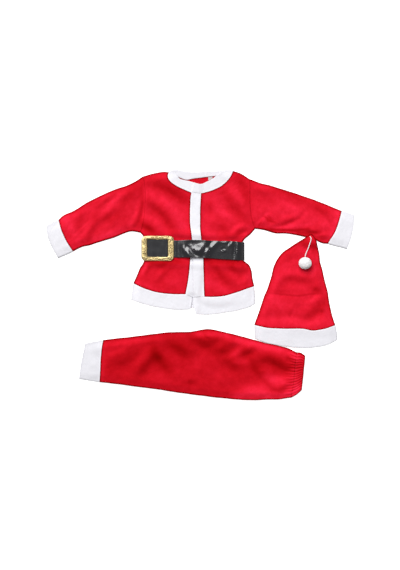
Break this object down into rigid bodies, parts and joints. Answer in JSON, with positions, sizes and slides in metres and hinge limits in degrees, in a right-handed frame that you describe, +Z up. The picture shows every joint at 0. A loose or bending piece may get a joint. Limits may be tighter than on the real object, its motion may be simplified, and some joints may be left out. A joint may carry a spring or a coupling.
{
  "type": "santa suit",
  "caption": "Toddler's belted Santa jacket, hat with a corded pompom and trousers folded in half, laid out flat as one set.",
  "frame": {"origin": "centre of the set's bounding box, without the pompom and its cord, on the plane that the set lies on", "axes": "+X along the sleeves, from the viewer's left to right; +Y from the trousers to the collar; +Z up, off the surface"},
  "size_m": [0.7686, 0.5737, 0.0369],
  "materials": {
    "red_knit": "brushed red polyester knit, soft short nap, matt with a faint sheen",
    "white_plush": "short white plush fleece",
    "tag_tape": "plain woven off-white tape",
    "black_strap": "glossy, slightly crinkled black soft plastic strap",
    "gold_frame": "gold-coloured cast frame with fine slanting grooves",
    "white_cord": "twisted white cord",
    "white_pompom": "dense trimmed white yarn"
  },
  "bodies": {
    "root": {"jacket_back": "red_knit", "jacket_front_left": "red_knit", "jacket_front_right": "red_knit", "sleeve_left": "red_knit", "sleeve_right": "red_knit", "sleeve_cuff_left": "white_plush", "sleeve_cuff_right": "white_plush", "placket_under": "white_plush", "placket_over": "white_plush", "hem_front_left": "white_plush", "hem_front_right": "white_plush", "hem_back": "white_plush", "collar_front_left": "white_plush", "collar_front_right": "white_plush", "collar_back": "white_plush", "neck_tag": "tag_tape", "belt_front": "black_strap", "belt_back": "black_strap", "belt_buckle": "gold_frame", "hat_cone": "red_knit", "hat_band": "white_plush", "hat_cord": "white_cord", "hat_pompom": "white_pompom", "trouser_leg_upper": "red_knit", "trouser_leg_under": "red_knit", "leg_cuff_upper": "white_plush", "leg_cuff_under": "white_plush", "waist_casing_upper": "red_knit", "waist_casing_under": "red_knit"}
  },
  "joints": []
}
